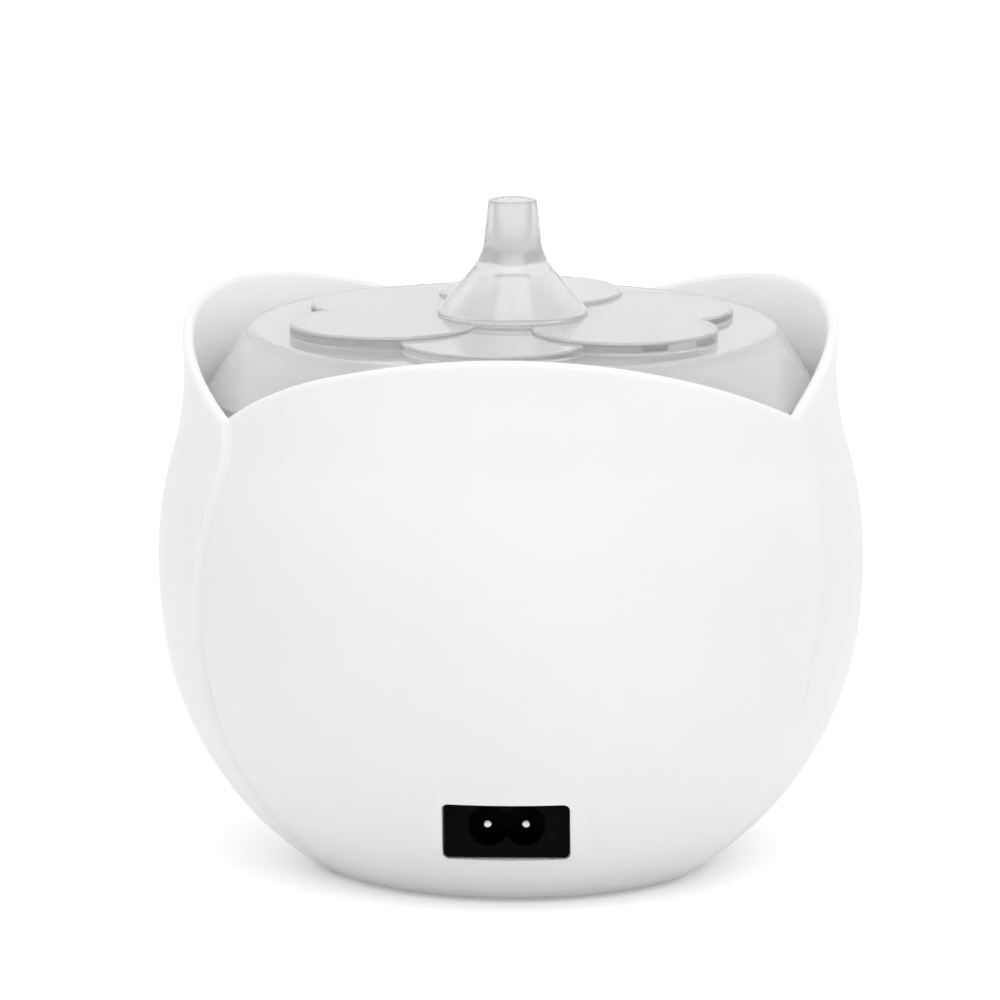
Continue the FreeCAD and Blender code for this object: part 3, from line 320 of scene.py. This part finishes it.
def painted_inner_light(material, inner):
    """Painted light: mix in the lighter inner colour where the surface faces the upright axis, in
    place of the light the inside lacks.
    """
    tree, shader = shader_of(material)
    space = node(tree, "ShaderNodeTexCoord")
    facing = node(tree, "ShaderNodeVectorMath", operation="DOT_PRODUCT")
    share = node(tree, "ShaderNodeMapRange", From_Min=-INNER_LIGHT_BLEND, From_Max=INNER_LIGHT_BLEND,
                 To_Min=1, To_Max=0)
    tree.links.new(space.outputs["Object"], facing.inputs[0])
    tree.links.new(space.outputs["Normal"], facing.inputs[1])
    tree.links.new(facing.outputs["Value"], share.inputs["Value"])
    mix_in(tree, shader, "Base Color", share.outputs["Result"], inner)
    return material


def clearer_above(material, low, high, foot, crown):
    """Let the clarity change with height, from foot to crown."""
    tree, shader = shader_of(material)
    clarity = by_height(tree, low, high, foot, crown)
    tree.links.new(clarity, shader.inputs["Transmission Weight"])
    return material


def frosted_above(material, low, high, roughness, colour):
    """Let gloss and colour change with height, over the stretch from low to high."""
    tree, shader = shader_of(material)
    share = by_height(tree, low, high, 0, 1)
    mix_in(tree, shader, "Roughness", share, grey(roughness))
    mix_in(tree, shader, "Base Color", share, colour)
    return material


def painted_edge_shade(material, low, high, colour):
    """Painted shade: mix in a darker colour on the upright faces between two heights, in place of
    the shade that refraction puts on clear edges.
    """
    tree, shader = shader_of(material)
    space = node(tree, "ShaderNodeTexCoord")
    facing = node(tree, "ShaderNodeSeparateXYZ")
    level = node(tree, "ShaderNodeMath", operation="ABSOLUTE")
    steep = node(tree, "ShaderNodeMapRange", From_Min=0, From_Max=EDGE_SHADE_BLEND, To_Min=1, To_Max=0)
    tree.links.new(space.outputs["Normal"], facing.inputs["Vector"])
    tree.links.new(facing.outputs["Z"], level.inputs[0])
    tree.links.new(level.outputs[0], steep.inputs["Value"])
    share = steep.outputs["Result"]
    limits = (by_height(tree, low, low + HEIGHT_BLEND, 0, 1),
              by_height(tree, high, high + HEIGHT_BLEND, 1, 0))
    for limit in limits:
        both = node(tree, "ShaderNodeMath", operation="MULTIPLY")
        tree.links.new(share, both.inputs[0])
        tree.links.new(limit, both.inputs[1])
        share = both.outputs[0]
    mix_in(tree, shader, "Base Color", share, colour)
    return material


# The casing's plastic lets a little light in, and its inner side is painted lighter in place of
# the light that reaches it less
SHELL_PLASTIC = moulded("white_shell", grey(0.82), grey(0.85), 0.42, Subsurface_Weight=0.4,
                        Subsurface_Radius=(1, 1, 1), Subsurface_Scale=4 * MM)

# The lid is milkier in its skirt, has painted shade on the flower's upright edges and is frosted
# up the knob
SKIRT_STRETCH, SKIRT_CLARITY, LID_CLARITY = (120 * MM, 124 * MM), 0.56, 0.69
KNOB_STRETCH, KNOB_ROUGHNESS = (134 * MM, 143 * MM), 0.1
FLOWER_SHADED_EDGES = (123.45 * MM, 125.9 * MM)
LID_PLASTIC = clear("clear_plastic", grey(0.97), grey(0.985), 0.02, LID_CLARITY)
clearer_above(LID_PLASTIC, *SKIRT_STRETCH, SKIRT_CLARITY, LID_CLARITY)
frosted_above(LID_PLASTIC, *KNOB_STRETCH, KNOB_ROUGHNESS, grey(0.94))
# Painted shade: grey 0.6 on the flower's upright edges stands in for their dark refraction
painted_edge_shade(LID_PLASTIC, *FLOWER_SHADED_EDGES, grey(0.6))

# Each slot's material: darker and lighter colour, and roughness
SLOT_MATERIALS = {
    # Painted light: the casing's inner side gets grey 0.98 against 0.82 to 0.85 outside
    "white_shell": painted_inner_light(SHELL_PLASTIC, grey(0.98)),
    "white_inner": moulded("white_inner", (0.93, 0.93, 0.92), (0.96, 0.96, 0.95), 0.55),
    "clear_plastic": LID_PLASTIC,
    "smoked_plastic": clear("smoked_plastic", (0.3, 0.3, 0.31), (0.34, 0.34, 0.35), 0.03, 1),
    "button_plastic": moulded("button_plastic", grey(0.62), grey(0.68), 0.45),
    "black_plastic": moulded("black_plastic", grey(0.0015), grey(0.003), 0.5,
                             Specular_IOR_Level=0.03),
    "rubber": moulded("rubber", grey(0.02), grey(0.035), 0.75),
    "aluminium": spun("aluminium", (0.62, 0.62, 0.63), (0.7, 0.7, 0.71), 0.34),
    "steel": plated("steel", (0.5, 0.5, 0.51), (0.65, 0.65, 0.66), 0.3),
    "pin_metal": plated("pin_metal", (0.5, 0.5, 0.51), (0.68, 0.68, 0.69), 0.16),
    "board": circuit("board", (0.02, 0.17, 0.06), (0.03, 0.22, 0.08), (0.1, 0.34, 0.14), 0.35),
    "component": moulded("component", (0.012, 0.013, 0.016), (0.03, 0.03, 0.036), 0.5),
    "socket_plastic": moulded("socket_plastic", (0.7, 0.67, 0.58), (0.78, 0.75, 0.66), 0.5),
    "wire_jacket": moulded("wire_jacket", (0.45, 0.05, 0.03), (0.55, 0.07, 0.05), 0.5),
}
# The printed marks and the display's segments have the slot's plastic in a grey of their own
MARK_MATERIALS = {
    "black_plastic": moulded("mark_grey", (0.05, 0.05, 0.055), (0.07, 0.07, 0.075), 0.55),
    "socket_plastic": moulded("segment_grey", grey(0.5), grey(0.6), 0.5),
}


def dress_nodes():
    for part in frame["record"]["subparts"]:
        obj = NODES[part["node"]]
        obj.data.materials.clear()
        obj.data.materials.append(SLOT_MATERIALS[part["material_slot"]])


# Clear lid: cover, flower and knob touch, so to the light they are one body
LID_NODES = ("lid_cover", "lid_flower", "lid_knob")
EDGE_ANGLE = math.radians(30)
FACE_WEIGHT = 100
WELD = 1e-6


def add_object(name, mesh):
    obj = bpy.data.objects.new(name, mesh)
    bpy.context.scene.collection.objects.link(obj)
    return obj


def welded_copy(part):
    """Closed copy of a CAD node's mesh."""
    shape = bmesh.new()
    shape.from_mesh(NODES[part].data)
    bmesh.ops.remove_doubles(shape, verts=shape.verts, dist=WELD)
    mesh = bpy.data.meshes.new(part + "_copy")
    shape.to_mesh(mesh)
    shape.free()
    if "custom_normal" in mesh.attributes:
        mesh.attributes.remove(mesh.attributes["custom_normal"])
    return add_object(part + "_copy", mesh)


def add_lid():
    copies = [welded_copy(part) for part in LID_NODES]
    for other in copies[1:]:
        joint = copies[0].modifiers.new("join", "BOOLEAN")
        joint.operation = "UNION"
        joint.solver = "EXACT"
        joint.object = other
    scene_now = bpy.context.evaluated_depsgraph_get()
    mesh = bpy.data.meshes.new_from_object(copies[0].evaluated_get(scene_now))
    for copy in copies:
        bpy.data.objects.remove(copy)
    mesh.name = "clear_lid"
    mesh.polygons.foreach_set("use_smooth", [True] * len(mesh.polygons))
    mesh.set_sharp_from_angle(angle=EDGE_ANGLE)
    mesh.materials.clear()
    mesh.materials.append(SLOT_MATERIALS["clear_plastic"])
    lid = add_object("clear_lid", mesh)
    even = lid.modifiers.new("even_shading", "WEIGHTED_NORMAL")
    even.keep_sharp = True
    even.weight = FACE_WEIGHT
    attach(lid, "lid")
    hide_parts(*LID_NODES)


# Printed marks and display segments: strips of (left, right) points in X and Z, on a surface
MARK_THICK = 0.12 * MM
MARK_PROUD = 0.02 * MM
MARK_HALF = 2.0 * MM
STROKE = 0.55 * MM
POWER_RING = 0.85 * MARK_HALF
POWER_STEM = (0.1 * MARK_HALF, 1.05 * MARK_HALF)
POWER_GAP = math.radians(40)
RAY_START = CAD_BOX[1][1] + 50 * MM


def bar(x0, z0, x1, z1, width, parts=6):
    """Straight strip between two points."""
    along = Vector((x1 - x0, z1 - z0)).normalized()
    side = Vector((-along.y, along.x)) * (width / 2)
    strip = []
    for i in range(parts + 1):
        middle = Vector((x0, z0)).lerp(Vector((x1, z1)), i / parts)
        strip.append((middle + side, middle - side))
    return strip


def open_ring(x, z, radius, width, gap, parts=40):
    """Ring with a gap at its top."""
    centre = Vector((x, z))
    strip = []
    for i in range(parts + 1):
        turn = math.pi / 2 + gap + (2 * math.pi - 2 * gap) * i / parts
        out = Vector((math.cos(turn), math.sin(turn)))
        strip.append((centre + out * (radius + width / 2), centre + out * (radius - width / 2)))
    return strip


def lay_strips(name, strips, front_y, body, slot):
    """Thin closed piece with each strip's face on the surface that front_y(x, z) gives."""
    shape = bmesh.new()
    for strip in strips:
        rows = []
        for pair in strip:
            row = []
            for lift in (MARK_PROUD, MARK_PROUD - MARK_THICK):
                row += [shape.verts.new((p.x, front_y(p.x, p.y) + lift, p.y)) for p in pair]
            rows.append(row)
        for a, b in zip(rows, rows[1:]):
            for i, j in ((0, 1), (1, 3), (3, 2), (2, 0)):
                shape.faces.new((a[i], a[j], b[j], b[i]))
        for end in (rows[0], rows[-1]):
            shape.faces.new((end[0], end[2], end[3], end[1]))
    bmesh.ops.recalc_face_normals(shape, faces=shape.faces)
    mesh = bpy.data.meshes.new(name)
    shape.to_mesh(mesh)
    shape.free()
    mesh.materials.append(MARK_MATERIALS[slot])
    piece = add_object(name, mesh)
    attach(piece, body)


def node_front(part):
    """Function that gives the +Y surface of a CAD node at X and Z."""
    data = NODES[part].data
    corners = [v.co for v in data.vertices]
    tree = BVHTree.FromPolygons(corners, [p.vertices for p in data.polygons])
    return lambda x, z: tree.ray_cast(Vector((x, RAY_START, z)), Vector((0, -1, 0)))[0].y


def node_middle(part):
    low, high = (Vector(corner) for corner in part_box(part))
    return (low + high) / 2


def key_strips(key, x, z):
    """Strips of the sign on a key, about its middle."""
    if key == "power":
        stem = bar(x, z + POWER_STEM[0], x, z + POWER_STEM[1], STROKE)
        return [open_ring(x, z, POWER_RING, STROKE, POWER_GAP), stem]
    strips = [bar(x - MARK_HALF, z, x + MARK_HALF, z, STROKE)]
    if key == "plus":
        for side in (1, -1):
            strips.append(bar(x, z + side * STROKE / 2, x, z + side * MARK_HALF, STROKE))
    return strips


def add_marks():
    """Power, plus and minus signs on the buttons."""
    for key in ("power", "plus", "minus"):
        button = f"{key}_button"
        at = node_middle(button)
        strips = key_strips(key, at.x, at.z)
        lay_strips(f"{key}_mark", strips, node_front(button), f"{key}_key", "black_plastic")


DIGIT_PITCH = 6.0 * MM
DIGIT_WIDE = 3.6 * MM
DIGIT_TALL = 6.8 * MM
SEGMENT = 0.7 * MM


def add_digits():
    """Three unlit digits of seven segments behind the display window."""
    at = node_middle("display_module")
    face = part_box("display_module")[1][1]
    w, t = DIGIT_WIDE / 2, DIGIT_TALL / 2
    for i in (-1, 0, 1):
        x = at.x + i * DIGIT_PITCH
        strips = []
        for z in (at.z - t, at.z, at.z + t):
            strips.append(bar(x - w + SEGMENT, z, x + w - SEGMENT, z, SEGMENT, 1))
        for side in (x - w, x + w):
            for low in (at.z - t, at.z):
                strips.append(bar(side, low + SEGMENT, side, low + t - SEGMENT, SEGMENT, 1))
        lay_strips(f"digit_{i + 2}", strips, lambda x, z: face, "base", "socket_plastic")


bpy.context.scene.view_settings.view_transform = "Standard"
for leftover in [o for o in bpy.data.objects if o.type in ("CAMERA", "LIGHT")]:
    bpy.data.objects.remove(leftover)
add_camera()
add_floor()
add_world()
add_lamps()
dress_nodes()
add_lid()
add_marks()
add_digits()
